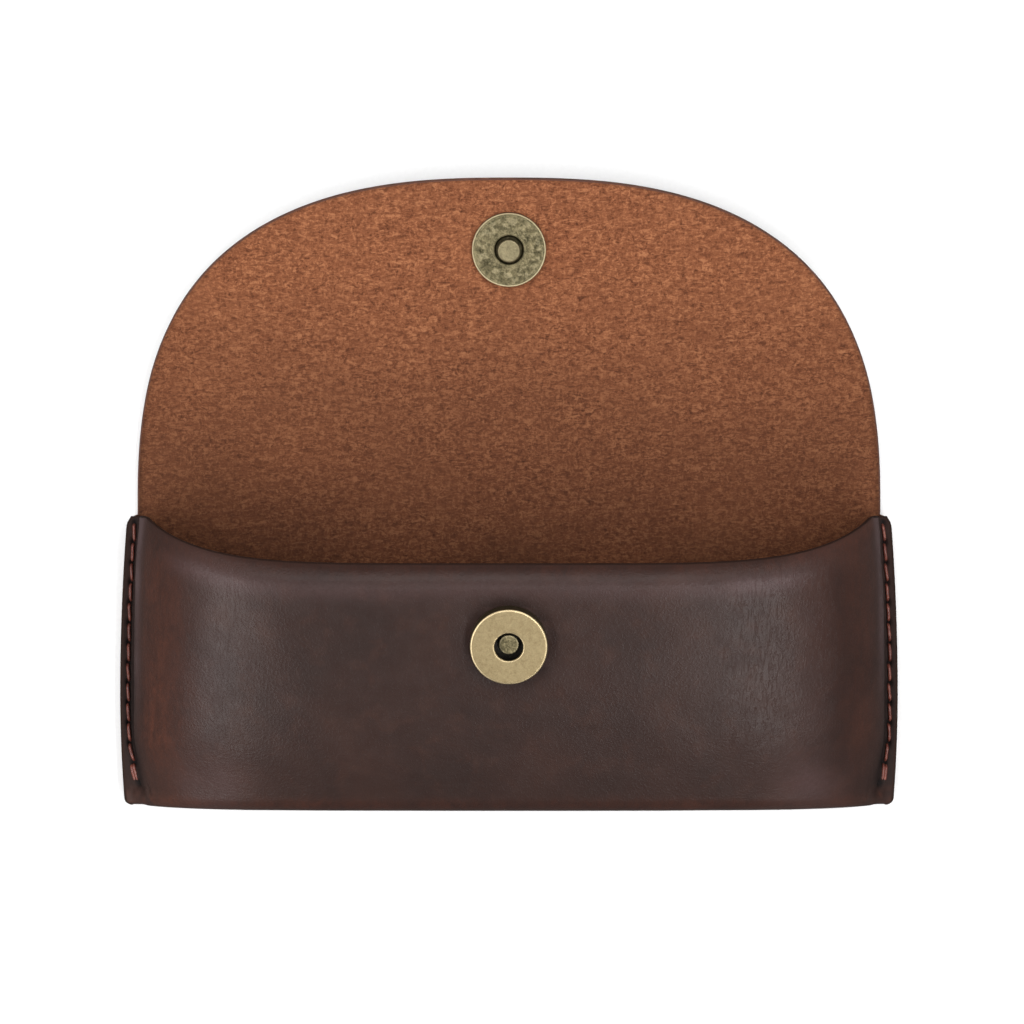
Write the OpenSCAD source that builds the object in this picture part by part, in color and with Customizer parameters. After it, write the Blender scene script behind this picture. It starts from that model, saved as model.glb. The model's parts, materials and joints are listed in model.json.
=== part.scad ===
// Moulded leather eyeglasses case with an open fold-over flap and a magnetic snap.
// The case lies on its back: X runs across its width, Y from the bottom fold towards
// the flap, and Z out of the front. The origin is the centre of the back's rest face.
// All sizes are in millimetres.

/* [Hide] */
// Thickness of the leather
hide_t = 2.2; // [2.0:0.1:2.4]
// Cement line between the front's flanges and the back
glue_gap = 0.2; // [0.15:0.05:0.3]

/* [Pocket] */
// Half width at the widest place of the side seams
half_w = 94.9; // [93:0.1:96]
// Height from the bottom fold to the flap's fold line
pocket_h = 71.5; // [70:0.5:73]
// Outer height of the front above the table, just above the bottom fold
bottom_depth = 22.2; // [21:0.1:23]
// Slope of the front face at the bottom (rise over run)
slope_bottom = 0.5; // [0.46:0.01:0.52]
// How fast the front face levels off towards the mouth
crown_round = 0.00356; // [0.0033:0.00001:0.0038]
// Width of the sewn flange beside the moulded wall
flange_w = 3.5; // [3.4:0.1:4.2]
// Radius where the front face turns down into the bottom wall
shoulder_r = 6.0; // [5:0.5:7]

/* [Mouth] */
// How far the mouth's edge dips below the fold line in the middle
mouth_dip = 11.5; // [10:0.5:12]
// How far the rolled lip drops at its edge
lip_drop = 4.0; // [3:0.5:4.5]
// Length over which the lip rolls
lip_len = 7.0; // [6:0.5:8]

/* [Flap] */
// Half width of the flap at its root
flap_half_w = 91.0; // [90:0.5:91.5]
// Length of the flap along its surface
flap_len = 81.3; // [79:0.1:84]
// Length from the back fold line to the middle fold line
root_len = 23.5; // [23:0.1:24]
// Length from the middle fold line to the front fold line
crown_len = 23.4; // [23:0.1:24]
// Rest angle of the flap's root above the table
root_angle = 2; // [1:0.5:3]
// Rest angle of the flap's crown above the table
crown_angle = 7; // [6:0.5:8]
// Rest angle of the flap's tongue above the table
tongue_angle = 14; // [13:0.5:15]

/* [Snap] */
// Radius of both snap halves
snap_r = 9.0; // [8.8:0.1:9.2]
// Height of the socket half
socket_h = 3.8; // [3.7:0.1:4]
// Radius of the hole in the socket
socket_hole_r = 3.28; // [3.2:0.01:3.4]
// Radius of the stud
stud_r = 2.75; // [2.6:0.01:2.8]
// Distance of the socket from the flap's back fold line, measured over the plan
socket_y = 5.65; // [5:0.05:6]
// Distance of the stud from the front fold line
stud_dist = 17.2; // [17:0.1:17.4]

/* [Seams] */
// Distance between stitch holes
stitch_pitch = 4.88; // [4.8:0.01:4.9]
// Number of stitch holes on each side
stitch_n = 14; // [14:1:14]
// Distance of the stitch line from the edge
stitch_in = 2.1; // [1.9:0.1:2.1]
// Radius of the thread
thread_r = 0.4; // [0.35:0.05:0.4]

/* [Hidden] */

leather_grain = [0.24, 0.13, 0.10];
leather_flesh = [0.55, 0.34, 0.22];
thread_colour = [0.42, 0.17, 0.12];
antique_brass = [0.60, 0.52, 0.36];
steel = [0.55, 0.56, 0.56];
ferrite = [0.16, 0.16, 0.17];

t = hide_t;
fold_y = 36;                      // the flap's back fold line
wall_y = fold_y - pocket_h;       // outer face of the bottom wall
joint_y = wall_y + 4.1;           // where the wrapped bottom meets the back panel
top_y = fold_y - 0.6;             // top end of the flanges
flange_z = 2 * t + glue_gap;      // outer face of the flanges
under_r = 3.6;                    // outer radius of the fold under the bottom wall
hinge_gap = 0.15;                 // half of the clearance at each fold line

// ---- moulded front -------------------------------------------------------
function clamp(v, a, b) = min(max(v, a), b);
function ease(v) = let (c = clamp(v, 0, 1)) c * c * (3 - 2 * c);

// outline of the pocket in plan, with its rounded corners
function corner(y) =
    let (u = clamp((y - (top_y - 3)) / 3, 0, 1), v = clamp(((wall_y + 1.5) - y) / 1.5, 0, 1))
    2.4 * (1 - sqrt(1 - u * u)) + 1.2 * (1 - sqrt(1 - v * v));
function edge_x(y) = half_w - (y > -8 ? 1.7 * pow((y + 8) / 43, 2) : 1.1 * pow((y + 8) / 27, 2));
function outline_x(y) = edge_x(y) - corner(y);
function tuck(y) = 1.6 * ease((-18 - y) / 14);          // the seam runs inwards towards the bottom
function base_x(y) = edge_x(y) - flange_w - tuck(y);    // foot of the moulded wall
function seam_x(y) = edge_x(y) - stitch_in - tuck(y);

// height of the crown line along the case, and its slope
function crown_z(y) = bottom_depth + slope_bottom * (y + 30) - crown_round * pow(y + 30, 2);
function crown_m(y) = slope_bottom - 2 * crown_round * (y + 30);
function bulge(c) = sqrt(max(0, 1 - pow(sin(90 * c), 7)));

// the mouth's edge in plan
function mouth_y(x, inner) = min(fold_y - mouth_dip + mouth_dip * pow(abs(x) / 88, 5.6), top_y) - inner * 0.8;
function lip(d) = lip_drop * pow(1 - clamp(d / lip_len, 0, 1), 2);

// columns across the front: c = 0 in the middle, 1 at the foot of the wall, up to 2 at the edge
half_cols = [0, 0.08, 0.16, 0.25, 0.34, 0.43, 0.51, 0.58, 0.64, 0.70, 0.755, 0.81, 0.865, 0.92, 0.965, 1, 1.5, 2];
cols = concat([for (i = [len(half_cols) - 1 : -1 : 1]) -half_cols[i]], half_cols);
function col_x(c, y, inner) =
    let (a = abs(c), s = c < 0 ? -1 : 1, b = base_x(y) - inner * t)
    s * (a <= 1 ? b * sin(90 * a) : b + (a - 1) * (outline_x(y) - b));
function col_b(c) = abs(c) <= 1 ? bulge(abs(c)) : 0;

face_rows = [0, 0.035, 0.075, 0.12, 0.18, 0.28, 0.4, 0.52, 0.64, 0.76, 0.88, 1];
arc_rows = [0.25, 0.5, 0.75, 1];

// one column of the sheet's outer (inner = 0) or inner (inner = 1) face, from the mouth to the joint
function column(c, inner) =
    let (b = col_b(c),
         base = flange_z - inner * t,
         z_of = function (y, x) base + (crown_z(y) - inner * 1.03 * t - base - lip(mouth_y(x, 0) - y)) * b,
         r1 = inner == 0 ? t + (shoulder_r - t) * b : 0.08 + (shoulder_r - t - 0.08) * b,
         r2 = inner == 0 ? t + (under_r - t) * b : 0.08 + (under_r - t - 0.08) * b,
         yw = wall_y + inner * t,
         floor_z = inner * t,
         ang = atan(crown_m(wall_y + 3) * b),
         y_end = yw + r1 * (1 - sin(ang)),
         x0 = col_x(c, 26, inner),
         y0 = mouth_y(x0, inner),
         h = base + (crown_z(y_end) - inner * 1.03 * t - base) * b,
         cy = yw + r1, cz = h - r1 * cos(ang))
    concat(
        [for (f = face_rows) let (y = y0 + (y_end - y0) * f) [col_x(c, y, inner), y, z_of(y, col_x(c, y, 0))]],
        [for (f = arc_rows) let (p = ang + (90 - ang) * f, y = cy - r1 * sin(p)) [col_x(c, y, inner), y, cz + r1 * cos(p)]],
        [let (y = yw) [col_x(c, y, inner), y, floor_z + r2]],
        [for (f = arc_rows) let (p = 90 + 90 * f, y = yw + r2 - r2 * sin(p)) [col_x(c, y, inner), y, floor_z + r2 + r2 * cos(p)]],
        [[col_x(c, joint_y, inner), joint_y, floor_z]]);

module thick_sheet(outer, inner) {
    nu = len(outer); nv = len(outer[0]); m = nu * nv;
    pts = concat([for (c = outer) each c], [for (c = inner) each c]);
    id = function (i, j, k) k * m + i * nv + j;
    quad = function (a, b, c, d, flip) flip ? [[a, b, c], [a, c, d]] : [[a, b, d], [b, c, d]];
    faces = concat(
        [for (i = [0 : nu - 2], j = [0 : nv - 2]) each quad(id(i, j, 0), id(i + 1, j, 0), id(i + 1, j + 1, 0), id(i, j + 1, 0), i < (nu - 1) / 2)],
        [for (i = [0 : nu - 2], j = [0 : nv - 2]) each quad(id(i, j, 1), id(i, j + 1, 1), id(i + 1, j + 1, 1), id(i + 1, j, 1), i < (nu - 1) / 2)],
        [for (i = [0 : nu - 2]) each quad(id(i, 0, 0), id(i, 0, 1), id(i + 1, 0, 1), id(i + 1, 0, 0), true)],
        [for (i = [0 : nu - 2]) each quad(id(i, nv - 1, 0), id(i + 1, nv - 1, 0), id(i + 1, nv - 1, 1), id(i, nv - 1, 1), true)],
        [for (j = [0 : nv - 2]) each quad(id(0, j, 0), id(0, j + 1, 0), id(0, j + 1, 1), id(0, j, 1), true)],
        [for (j = [0 : nv - 2]) each quad(id(nu - 1, j, 0), id(nu - 1, j, 1), id(nu - 1, j + 1, 1), id(nu - 1, j + 1, 0), true)]);
    polyhedron(points = pts, faces = faces, convexity = 6);
}

// ---- seams ---------------------------------------------------------------
function hole_y(k) = fold_y - 2.5 - stitch_pitch * k;
function hole_pos(k, side) = [side * seam_x(hole_y(k)), hole_y(k)];

module stitch_holes(z0, z1) {
    for (side = [-1, 1], k = [0 : stitch_n - 1])
        translate([hole_pos(k, side)[0], hole_pos(k, side)[1], z0])
            cylinder(h = z1 - z0, r = 0.55, $fn = 16);
}

module thread_bar(a, b, z) {
    d = b - a;
    translate([a[0], a[1], z]) rotate([0, 0, atan2(d[1], d[0])]) rotate([0, 90, 0]) rotate([0, 0, 22.5])
        cylinder(h = norm(d), r = thread_r, $fn = 8);
}

module thread_leg(p, z0, z1) {
    translate([p[0], p[1], z0]) rotate([0, 0, 22.5]) cylinder(h = z1 - z0, r = thread_r, $fn = 8);
}

module needle_thread(side) {
    color(thread_colour) union() {
        for (k = [0 : stitch_n - 2]) thread_bar(hole_pos(k, side), hole_pos(k + 1, side), flange_z + thread_r + 0.03);
        for (k = [0 : stitch_n - 1]) thread_leg(hole_pos(k, side), t + glue_gap / 2, flange_z + thread_r + 0.03);
    }
}

module bobbin_thread(side) {
    color(thread_colour) union() {
        for (k = [0 : stitch_n - 2]) thread_bar(hole_pos(k, side), hole_pos(k + 1, side), thread_r + 0.03);
        for (k = [0 : stitch_n - 1]) thread_leg(hole_pos(k, side), thread_r + 0.03, t + glue_gap / 2 - 0.05);
    }
}

// ---- snap places ---------------------------------------------------------
socket_tilt = atan(crown_m(socket_y));
seat_depth = 0.5;                 // how far the socket is pulled into the grain face
inner_seat = 0.3;                 // how far the rivet's head is pulled into the flesh face
disc_seat = 0.3;                  // how far the stud's disc is pulled into the flap
disc_t = 1.5;
stud_h = 2.0;
shank_r = 1.6;

module at_socket() {
    translate([0, socket_y, crown_z(socket_y)]) rotate([socket_tilt, 0, 0]) children();
}

h1 = [fold_y, t];
h2 = h1 + root_len * [cos(root_angle), sin(root_angle)];
h3 = h2 + crown_len * [cos(crown_angle), sin(crown_angle)];

module at_fold(h, a) { translate([0, h[0], h[1]]) rotate([a, 0, 0]) children(); }
module at_stud() { at_fold(h3, tongue_angle) translate([0, stud_dist, 0]) children(); }

// ---- leather pieces ------------------------------------------------------
module front_panel() {
    color(leather_grain) difference() {
        thick_sheet([for (c = cols) column(c, 0)], [for (c = cols) column(c, 1)]);
        at_socket() translate([0, 0, -seat_depth]) cylinder(h = 6, r = snap_r + 0.2, $fn = 64);
        at_socket() translate([0, 0, -8]) cylinder(h = 8 - t + inner_seat, r = 4.7, $fn = 48);
        at_socket() translate([0, 0, -6]) cylinder(h = 12, r = shank_r + 0.1, $fn = 32);
        stitch_holes(t + glue_gap / 2, flange_z + 2);
    }
}

back_ys = concat([for (i = [0 : 14]) joint_y + 0.05 + (top_y - 3 - joint_y - 0.05) * i / 14],
                 [for (i = [1 : 6]) top_y - 3 + 3 * sin(15 * i)], [fold_y - hinge_gap]);
function back_x(y) = y > top_y ? flap_half_w : max(outline_x(y), flap_half_w);

module back_panel() {
    color(leather_grain) difference() {
        linear_extrude(height = t)
            polygon(concat([for (y = back_ys) [back_x(y), y]],
                           [for (i = [len(back_ys) - 1 : -1 : 0]) [-back_x(back_ys[i]), back_ys[i]]]));
        stitch_holes(-1, t + 1);
        // groove that takes the bobbin thread below the rest face
        for (side = [-1, 1]) for (k = [0 : stitch_n - 2]) {
            a = hole_pos(k, side); b = hole_pos(k + 1, side); d = b - a;
            translate([a[0], a[1], 0]) rotate([0, 0, atan2(d[1], d[0])])
                translate([-0.1, -0.46, -1]) cube([norm(d) + 0.2, 0.92, 1.9]);
        }
    }
}

// half width of the flap at a distance along it
function flap_x(l) = flap_half_w * pow(max(0, 1 - pow(l / flap_len, 2.65)), 1 / 2.6);

module flap_plate(l0, l1, steps) {
    ls = [for (i = [0 : steps]) l0 + (l1 - l0) * sin(90 * i / steps)];
    translate([0, 0, -t]) linear_extrude(height = t)
        polygon(concat([for (l = ls) [flap_x(l), l]], [for (i = [steps : -1 : 0]) [-flap_x(ls[i]), ls[i]]]));
}

module flap_root() {
    color(leather_flesh) at_fold(h1, root_angle)
        flap_plate(hinge_gap, root_len - hinge_gap, 5);
}

module flap_crown() {
    color(leather_flesh) at_fold(h2, crown_angle) translate([0, -root_len, 0])
        flap_plate(root_len + hinge_gap, root_len + crown_len - hinge_gap, 6);
}

module flap_tongue() {
    color(leather_flesh) difference() {
        at_fold(h3, tongue_angle) translate([0, -root_len - crown_len, 0])
            flap_plate(root_len + crown_len + hinge_gap, flap_len - 0.02, 22);
        at_stud() translate([0, 0, -disc_seat]) cylinder(h = 5, r = snap_r + 0.2, $fn = 64);
        at_stud() translate([0, 0, -6]) cylinder(h = 6 - t + 0.3, r = 5.7, $fn = 48);
        at_stud() translate([0, 0, -6]) cylinder(h = 12, r = shank_r + 0.1, $fn = 32);
    }
}

// ---- magnetic snap, socket half -----------------------------------------
module socket_cup() {
    color(antique_brass) at_socket() translate([0, 0, -seat_depth]) rotate_extrude($fn = 96)
        polygon([[socket_hole_r, socket_h - 0.75], [socket_hole_r, socket_h - 0.12], [socket_hole_r + 0.12, socket_h],
                 [snap_r - 0.45, socket_h], [snap_r - 0.13, socket_h - 0.13], [snap_r, socket_h - 0.45],
                 [snap_r, 0.1], [snap_r - 0.1, 0.02], [snap_r - 0.55, 0.02], [snap_r - 0.55, socket_h - 0.5],
                 [socket_hole_r + 0.35, socket_h - 0.5], [socket_hole_r + 0.35, socket_h - 0.75]]);
}

module socket_magnet() {
    color(ferrite) at_socket() translate([0, 0, -seat_depth + 0.67]) difference() {
        cylinder(h = socket_h - 0.5 - 0.72, r = snap_r - 0.65, $fn = 96);
        translate([0, 0, -1]) cylinder(h = 6, r = socket_hole_r + 0.42, $fn = 64);
    }
}

module socket_base_plate() {
    color(steel) at_socket() translate([0, 0, -seat_depth + 0.02]) difference() {
        cylinder(h = 0.6, r = snap_r - 0.6, $fn = 96);
        translate([0, 0, -1]) cylinder(h = 3, r = shank_r + 0.08, $fn = 32);
    }
}

module socket_rivet() {
    color(steel) at_socket() rotate_extrude($fn = 48)
        polygon([[0, -t - 0.75], [2.2, -t - 0.7], [3.6, -t - 0.5], [4.3, -t - 0.15], [4.5, -t + 0.1],
                 [4.5, -t + inner_seat - 0.05], [shank_r, -t + inner_seat - 0.05], [shank_r, -seat_depth + 0.65],
                 [2.38, -seat_depth + 0.65], [2.38, 1.05], [2.23, 1.2], [0, 1.2]]);
}

// ---- magnetic snap, stud half -------------------------------------------
module stud_disc() {
    color(antique_brass) at_stud() translate([0, 0, -disc_seat]) rotate_extrude($fn = 96)
        polygon([[shank_r + 0.08, 0.02], [snap_r - 0.1, 0.02], [snap_r, 0.12], [snap_r, disc_t - 0.3],
                 [snap_r - 0.1, disc_t - 0.08], [snap_r - 0.3, disc_t], [snap_r - 0.55, disc_t - 0.15],
                 [4.1, disc_t - 0.15], [3.5, disc_t - 0.6], [shank_r + 0.08, disc_t - 0.6]]);
}

module stud_pin() {
    color(antique_brass) at_stud() rotate_extrude($fn = 64)
        polygon([[0, -t - 0.35], [shank_r, -t - 0.35], [shank_r, disc_t - disc_seat - 0.58],
                 [stud_r, disc_t - disc_seat - 0.58], [stud_r, disc_t - disc_seat + stud_h - 0.25],
                 [stud_r - 0.25, disc_t - disc_seat + stud_h], [0, disc_t - disc_seat + stud_h]]);
}

module stud_cap() {
    color(antique_brass) at_stud() translate([0, 0, -t]) rotate_extrude($fn = 64)
        polygon([[0, -1.15], [2.6, -1.05], [4.4, -0.72], [5.2, -0.3], [5.5, 0.05], [5.5, 0.26],
                 [shank_r + 0.06, 0.26], [shank_r + 0.06, -0.4], [0, -0.4]]);
}

front_panel();
back_panel();
flap_root();
flap_crown();
flap_tongue();
needle_thread(-1);  // left_needle_thread
bobbin_thread(-1);  // left_bobbin_thread
needle_thread(1);  // right_needle_thread
bobbin_thread(1);  // right_bobbin_thread
socket_cup();
socket_magnet();
socket_base_plate();
socket_rivet();
stud_disc();
stud_pin();
stud_cap();
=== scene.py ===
import json
import math
import bpy
import numpy as np
from mathutils import Matrix, Vector


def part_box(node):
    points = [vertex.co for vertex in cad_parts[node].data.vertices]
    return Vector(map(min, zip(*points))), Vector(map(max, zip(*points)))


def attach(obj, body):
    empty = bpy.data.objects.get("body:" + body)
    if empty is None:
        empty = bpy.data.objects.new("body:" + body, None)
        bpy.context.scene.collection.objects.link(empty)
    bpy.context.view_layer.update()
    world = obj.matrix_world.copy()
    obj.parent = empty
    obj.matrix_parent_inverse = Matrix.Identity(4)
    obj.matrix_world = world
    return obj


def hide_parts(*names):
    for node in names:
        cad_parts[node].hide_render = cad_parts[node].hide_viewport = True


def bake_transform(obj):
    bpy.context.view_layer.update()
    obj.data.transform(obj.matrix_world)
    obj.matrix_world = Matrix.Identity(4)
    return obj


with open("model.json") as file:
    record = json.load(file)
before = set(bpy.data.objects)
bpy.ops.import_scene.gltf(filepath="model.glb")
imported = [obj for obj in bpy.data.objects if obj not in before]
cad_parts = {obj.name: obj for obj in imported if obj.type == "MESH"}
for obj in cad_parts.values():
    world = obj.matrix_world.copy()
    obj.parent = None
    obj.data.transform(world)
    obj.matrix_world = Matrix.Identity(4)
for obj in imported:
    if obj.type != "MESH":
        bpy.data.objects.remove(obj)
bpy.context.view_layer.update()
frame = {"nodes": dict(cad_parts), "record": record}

MM = 0.001
sc = bpy.context.scene

# ---------------------------------------------------------------- sizes, from the frame
flo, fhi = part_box("front_panel")
blo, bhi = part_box("back_panel")
rlo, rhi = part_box("flap_root")
JOINTS = {j["name"]: j for j in frame["record"]["behaviour"]["joints"]}
H = [np.array(JOINTS[n]["pos_m"][1:]) / MM for n in ("back_fold", "middle_fold", "front_fold")]

T = (bhi[2] - blo[2]) / MM                     # leather thickness
HALF_W = fhi[0] / MM + 0.0
FOLD_Y = H[0][0]
WALL_Y = flo[1] / MM
JOINT_Y = blo[1] / MM - 0.05
TOP_Y = FOLD_Y - 0.6
FLANGE_Z = 2 * T + 0.2
UNDER_R, SHOULDER_R = 3.6, 6.0
ROOT_LEN = float(np.linalg.norm(H[1] - H[0]))
CROWN_LEN = float(np.linalg.norm(H[2] - H[1]))
ROOT_A = math.atan2(*(H[1] - H[0])[::-1])
CROWN_A = math.atan2(*(H[2] - H[1])[::-1])
TONGUE_A = math.radians(14)
FLAP_HALF = rhi[0] / MM
FLAP_LEN = 81.28

# ---------------------------------------------------------------- helpers
def ease(v):
    c = np.clip(v, 0, 1)
    return c * c * (3 - 2 * c)


def build(name, verts_mm, faces, mats=None, mat_ids=None, uv=None, attrs=None, smooth=True):
    """A mesh object from points in millimetres, with per-point UVs and float attributes."""
    me = bpy.data.meshes.new(name)
    v = np.asarray(verts_mm, float) * MM
    me.from_pydata([tuple(p) for p in v], [], [tuple(int(i) for i in f) for f in faces])
    me.update()
    for m in mats or []:
        me.materials.append(m)
    if mat_ids is not None:
        me.polygons.foreach_set("material_index", np.asarray(mat_ids, np.int32))
    if uv is not None:
        layer = me.uv_layers.new(name="UVMap")
        loops = np.zeros(len(me.loops), np.int32)
        me.loops.foreach_get("vertex_index", loops)
        layer.data.foreach_set("uv", (np.asarray(uv, np.float32)[loops] * MM).ravel())
    for k, vals in (attrs or {}).items():
        a = me.attributes.new(k, "FLOAT", "POINT")
        a.data.foreach_set("value", np.asarray(vals, np.float32))
    if smooth:
        me.polygons.foreach_set("use_smooth", np.ones(len(me.polygons), bool))
    me.validate()
    me.update()
    ob = bpy.data.objects.new(name, me)
    sc.collection.objects.link(ob)
    return ob


def grid_faces(nu, nv, base=0, flip=False):
    i, j = np.meshgrid(np.arange(nu - 1), np.arange(nv - 1), indexing="ij")
    a = base + i * nv + j
    q = np.stack([a, a + nv, a + nv + 1, a + 1], -1).reshape(-1, 4)
    return q[:, ::-1] if flip else q


def slab(name, outer, inner, rho, sides, mats, uv_o, attr_o, attr_i, n_arc=6, out_up=True, rim_dir=None):
    """Two grids (nu, nv, 3) joined round their rim; sides = rim shapes of (v0, v1, u0, u1): 'round' or 'flat'.
    Returns the object. Slots: 0 outer face, 1 inner face, 2 rim."""
    nu, nv = outer.shape[:2]
    V = [outer.reshape(-1, 3), inner.reshape(-1, 3)]
    U = [uv_o.reshape(-1, 2), uv_o.reshape(-1, 2) + np.array([0.0, 400.0])]
    keys = sorted(attr_o)
    A = {k: [attr_o[k].ravel(), attr_i[k].ravel()] for k in keys}
    F = [grid_faces(nu, nv, 0, not out_up), grid_faces(nu, nv, nu * nv, out_up)]
    M = [np.zeros(len(F[0]), int), np.ones(len(F[1]), int)]
    # rim, walked once round: (i, j) pairs and the outward direction at each
    ring = [(i, 0) for i in range(nu)] + [(nu - 1, j) for j in range(1, nv)] + \
           [(i, nv - 1) for i in range(nu - 2, -1, -1)] + [(0, j) for j in range(nv - 2, 0, -1)]
    side_of = []
    for (i, j) in ring:
        s = []
        if j == 0: s.append(0)
        if j == nv - 1: s.append(1)
        if i == 0: s.append(2)
        if i == nu - 1: s.append(3)
        side_of.append(s)
    base = 2 * nu * nv
    n = len(ring)
    P = np.zeros((n, n_arc, 3)); UU = np.zeros((n, n_arc, 2)); AA = {k: np.zeros((n, n_arc)) for k in keys}
    for r, (i, j) in enumerate(ring):
        po, pi_ = outer[i, j], inner[i, j]
        d = np.zeros(3)
        for s in side_of[r]:
            if sides[s] != "round":
                continue
            if rim_dir is not None and s > 1:
                d += rim_dir[j] * np.array([-1 if s == 2 else 1, 1, 1])
                continue
            if rim_dir is not None and s == 1:
                d += rim_dir[j] * np.array([0, 1, 1])
                continue
            k = {0: (i, 1), 1: (i, nv - 2), 2: (1, j), 3: (nu - 2, j)}[s]
            e = (outer[i, j] - outer[k]) + (inner[i, j] - inner[k])
            h = po - pi_
            e = e - h * (e @ h) / max(h @ h, 1e-12)
            d += e / max(np.linalg.norm(e), 1e-9)
        nd = np.linalg.norm(d)
        if nd > 1e-9 and len(side_of[r]) > 1:
            d /= nd
        mid, half = (po + pi_) / 2, (po - pi_) / 2
        for a in range(n_arc):
            ph = math.pi * (a + 1) / (n_arc + 1)
            c, s_ = math.cos(ph), math.sin(ph)
            if nd < 1e-9:
                P[r, a] = mid + half * (1 - 2 * (a + 1) / (n_arc + 1))
            else:
                # squarish round: a burnished edge keeps some flat in the middle
                P[r, a] = mid + half * np.sign(c) * abs(c) ** 0.8 + d * rho * abs(s_) ** 0.8
            UU[r, a] = uv_o[i, j] + np.array([0.0, 200.0 + a * 0.3])
            for k in keys:
                AA[k][r, a] = attr_o[k][i, j]
    V.append(P.reshape(-1, 3)); U.append(UU.reshape(-1, 2))
    for k in keys:
        A[k].append(AA[k].ravel())
    rows = []
    for r in range(n):
        i, j = ring[r]
        rows.append([i * nv + j] + [base + r * n_arc + a for a in range(n_arc)] + [nu * nv + i * nv + j])
    rf = []
    for r in range(n):
        a, b = rows[r], rows[(r + 1) % n]
        for k in range(len(a) - 1):
            q = (a[k], b[k], b[k + 1], a[k + 1])
            rf.append(q[::-1] if out_up else q)
    F.append(np.array(rf)); M.append(np.full(len(rf), 2))
    ob = build(name, np.concatenate(V), np.concatenate(F), mats, np.concatenate(M),
               np.concatenate(U), {k: np.concatenate(A[k]) for k in keys})
    # a cut where two lengths of one sheet meet keeps each side's own normals, so that no line shows
    sharp = set()
    for r in range(n):
        q = (r + 1) % n
        if any(sides[x] == "flat" for x in set(side_of[r]) & set(side_of[q])):
            for o in (0, nu * nv):
                a, b = (ring[r][0] * nv + ring[r][1] + o), (ring[q][0] * nv + ring[q][1] + o)
                sharp.add((min(a, b), max(a, b)))
    ev = np.zeros(2 * len(ob.data.edges), np.int32); ob.data.edges.foreach_get("vertices", ev)
    flag = np.array([(min(a, b), max(a, b)) in sharp for a, b in ev.reshape(-1, 2)])
    at = ob.data.attributes.get("sharp_edge") or ob.data.attributes.new("sharp_edge", "BOOLEAN", "EDGE")
    at.data.foreach_set("value", flag)
    return ob


def arc_uv(g):
    """Flat-pattern coordinates of a grid: lengths measured along it."""
    du = np.linalg.norm(np.diff(g, axis=0), axis=2); dv = np.linalg.norm(np.diff(g, axis=1), axis=2)
    u = np.concatenate([np.zeros((1, g.shape[1])), np.cumsum(du, 0)], 0)
    v = np.concatenate([np.zeros((g.shape[0], 1)), np.cumsum(dv, 1)], 1)
    u = u - u[g.shape[0] // 2][None, :]
    return np.stack([u, -v], -1)


def vnoise(x, y, seed):
    """Smooth repeatable value noise of two coordinates, -1..1."""
    x, y = np.asarray(x, float), np.asarray(y, float)
    x, y = np.broadcast_arrays(x, y)
    xi, yi = np.floor(x).astype(int), np.floor(y).astype(int)
    fx, fy = x - xi, y - yi
    fx, fy = fx * fx * (3 - 2 * fx), fy * fy * (3 - 2 * fy)

    def h(a, b):
        n = (a * 374761393 + b * 668265263 + seed * 974634777) & 0x7FFFFFFF
        n = ((n ^ (n >> 13)) * 1274126177) & 0x7FFFFFFF
        return ((n ^ (n >> 16)) & 0xFFFF) / 32767.5 - 1
    return (h(xi, yi) * (1 - fx) + h(xi + 1, yi) * fx) * (1 - fy) + (h(xi, yi + 1) * (1 - fx) + h(xi + 1, yi + 1) * fx) * fy


# ---------------------------------------------------------------- materials
def new_mat(name):
    m = bpy.data.materials.new(name)
    m.use_nodes = True
    nt = m.node_tree
    return m, nt, nt.nodes["Principled BSDF"]


def node(nt, kind, **kw):
    n = nt.nodes.new(kind)
    for k, v in kw.items():
        if k in n.inputs:
            n.inputs[k].default_value = v
        else:
            setattr(n, k, v)
    return n


def ramp(nt, stops, fac):
    r = nt.nodes.new("ShaderNodeValToRGB")
    e = r.color_ramp.elements
    while len(e) > 1:
        e.remove(e[-1])
    e[0].position, e[0].color = stops[0][0], (*stops[0][1], 1)
    for p, c in stops[1:]:
        x = e.new(p); x.color = (*c, 1)
    nt.links.new(fac, r.inputs["Fac"])
    return r.outputs["Color"]


def mix(nt, a, b, fac, mode="MIX"):
    m = nt.nodes.new("ShaderNodeMix")
    m.data_type = "RGBA"; m.blend_type = mode; m.clamp_factor = True
    for s, v in ((m.inputs[0], fac), (m.inputs[6], a), (m.inputs[7], b)):
        if isinstance(v, bpy.types.NodeSocket):
            nt.links.new(v, s)
        elif isinstance(v, tuple):
            s.default_value = (*v, 1) if len(v) == 3 else v
        else:
            s.default_value = v
    return m.outputs[2]


def math_(nt, op, a, b=None, clamp=False):
    m = nt.nodes.new("ShaderNodeMath"); m.operation = op; m.use_clamp = clamp
    for s, v in zip(m.inputs, (a, b)):
        if v is None:
            continue
        if isinstance(v, bpy.types.NodeSocket):
            nt.links.new(v, s)
        else:
            s.default_value = v
    return m.outputs[0]


def uv_of(nt, scale=(1, 1, 1)):
    t = nt.nodes.new("ShaderNodeUVMap"); t.uv_map = "UVMap"
    if scale == (1, 1, 1):
        return t.outputs[0]
    mp = nt.nodes.new("ShaderNodeMapping"); mp.inputs["Scale"].default_value = scale
    nt.links.new(t.outputs[0], mp.inputs["Vector"])
    return mp.outputs[0]


def noise(nt, vec, scale, detail=3, rough=0.5, distort=0.0, lac=2.0):
    n = node(nt, "ShaderNodeTexNoise", Scale=scale, Detail=detail, Roughness=rough, Distortion=distort, Lacunarity=lac)
    nt.links.new(vec, n.inputs["Vector"])
    return n.outputs["Fac"]


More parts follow.
